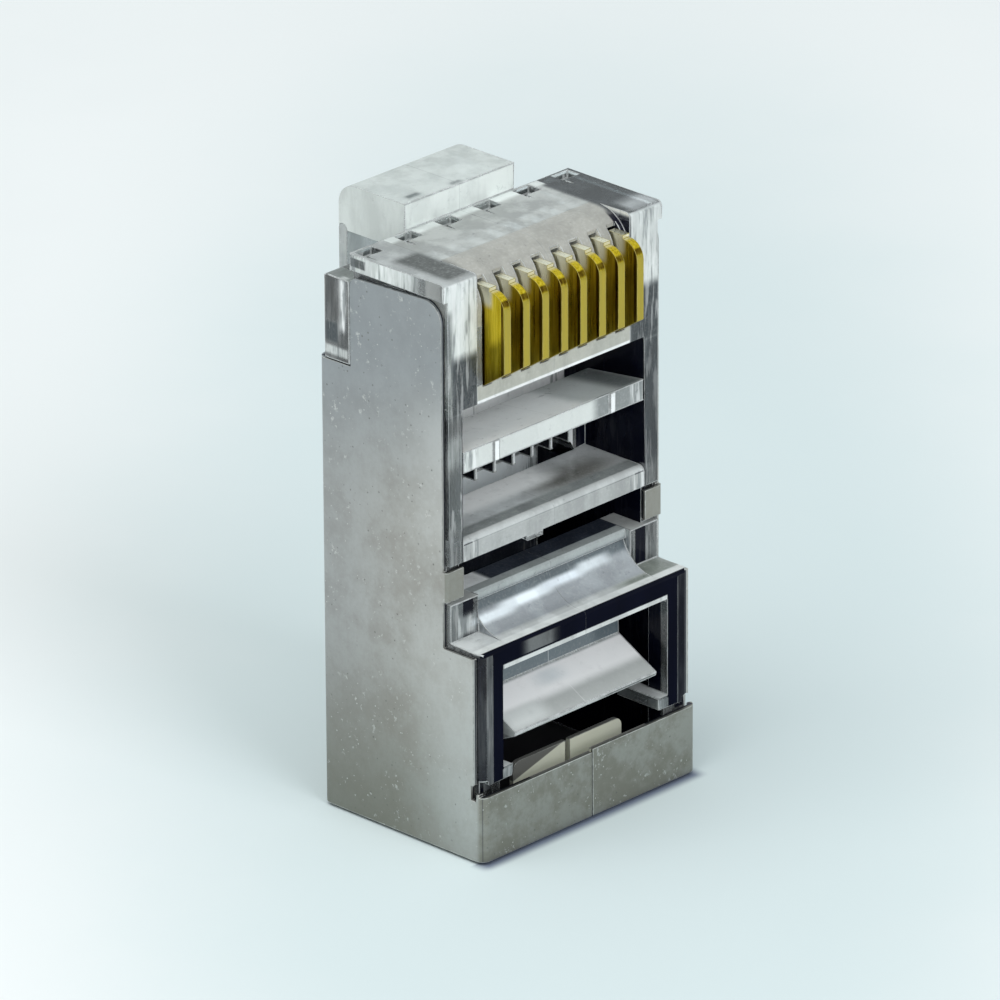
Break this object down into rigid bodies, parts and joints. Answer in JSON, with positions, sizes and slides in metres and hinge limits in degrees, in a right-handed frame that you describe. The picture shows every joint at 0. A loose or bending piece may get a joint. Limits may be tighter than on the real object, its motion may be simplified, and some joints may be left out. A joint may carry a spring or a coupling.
{
  "type": "shielded modular plug",
  "caption": "Clear modular cable plug in a folded metal shield, with proud insulation-piercing contacts, two strain-relief clamps and a sprung latch.",
  "frame": {"origin": "centre of the cable end, in the plane of the shield's lower edge, on which the plug stands in the picture", "axes": "+Z from the cable end up to the nose, +X across the row of contacts, -Y out of the contact face, +Y out of the latch side"},
  "size_m": [0.0116, 0.0122, 0.0238],
  "materials": {
    "clear_housing": "clear moulded polycarbonate, lightly frosted at the nose",
    "clear_latch": "clear moulded polycarbonate",
    "clear_clamp": "clear moulded polycarbonate",
    "shield_metal": "satin nickel plate over brass sheet, mottled",
    "contact_gold": "gold plate over copper alloy"
  },
  "bodies": {
    "plug_body": {"housing": "clear_housing", "shield": "shield_metal"},
    "latch": {"latch_lever": "clear_latch"},
    "wire_clamp": {"conductor_clamp": "clear_clamp"},
    "cable_clamp": {"jacket_clamp": "clear_clamp"},
    "blade_1": {"contact_1": "contact_gold"},
    "blade_2": {"contact_2": "contact_gold"},
    "blade_3": {"contact_3": "contact_gold"},
    "blade_4": {"contact_4": "contact_gold"},
    "blade_5": {"contact_5": "contact_gold"},
    "blade_6": {"contact_6": "contact_gold"},
    "blade_7": {"contact_7": "contact_gold"},
    "blade_8": {"contact_8": "contact_gold"}
  },
  "joints": [
    {"name": "latch_press", "type": "hinge", "parent": "plug_body", "child": "latch", "pos_m": [0, 0.0057, 0.02196], "axis": [-1, 0, 0], "range_deg": [0, 7.5], "stiffness_Nm_per_rad": 0.05},
    {"name": "wire_clamp_press", "type": "slide", "parent": "plug_body", "child": "wire_clamp", "axis": [0, 1, 0], "range_m": [0, 0.0009]},
    {"name": "cable_clamp_press", "type": "hinge", "parent": "plug_body", "child": "cable_clamp", "pos_m": [0, -0.0017, 0.00715], "axis": [1, 0, 0], "range_deg": [0, 35]},
    {"name": "blade_1_press", "type": "slide", "parent": "plug_body", "child": "blade_1", "axis": [0, 1, 0], "range_m": [0, 0.00145]},
    {"name": "blade_2_press", "type": "slide", "parent": "plug_body", "child": "blade_2", "axis": [0, 1, 0], "range_m": [0, 0.00145]},
    {"name": "blade_3_press", "type": "slide", "parent": "plug_body", "child": "blade_3", "axis": [0, 1, 0], "range_m": [0, 0.00145]},
    {"name": "blade_4_press", "type": "slide", "parent": "plug_body", "child": "blade_4", "axis": [0, 1, 0], "range_m": [0, 0.00145]},
    {"name": "blade_5_press", "type": "slide", "parent": "plug_body", "child": "blade_5", "axis": [0, 1, 0], "range_m": [0, 0.00145]},
    {"name": "blade_6_press", "type": "slide", "parent": "plug_body", "child": "blade_6", "axis": [0, 1, 0], "range_m": [0, 0.00145]},
    {"name": "blade_7_press", "type": "slide", "parent": "plug_body", "child": "blade_7", "axis": [0, 1, 0], "range_m": [0, 0.00145]},
    {"name": "blade_8_press", "type": "slide", "parent": "plug_body", "child": "blade_8", "axis": [0, 1, 0], "range_m": [0, 0.00145]}
  ]
}
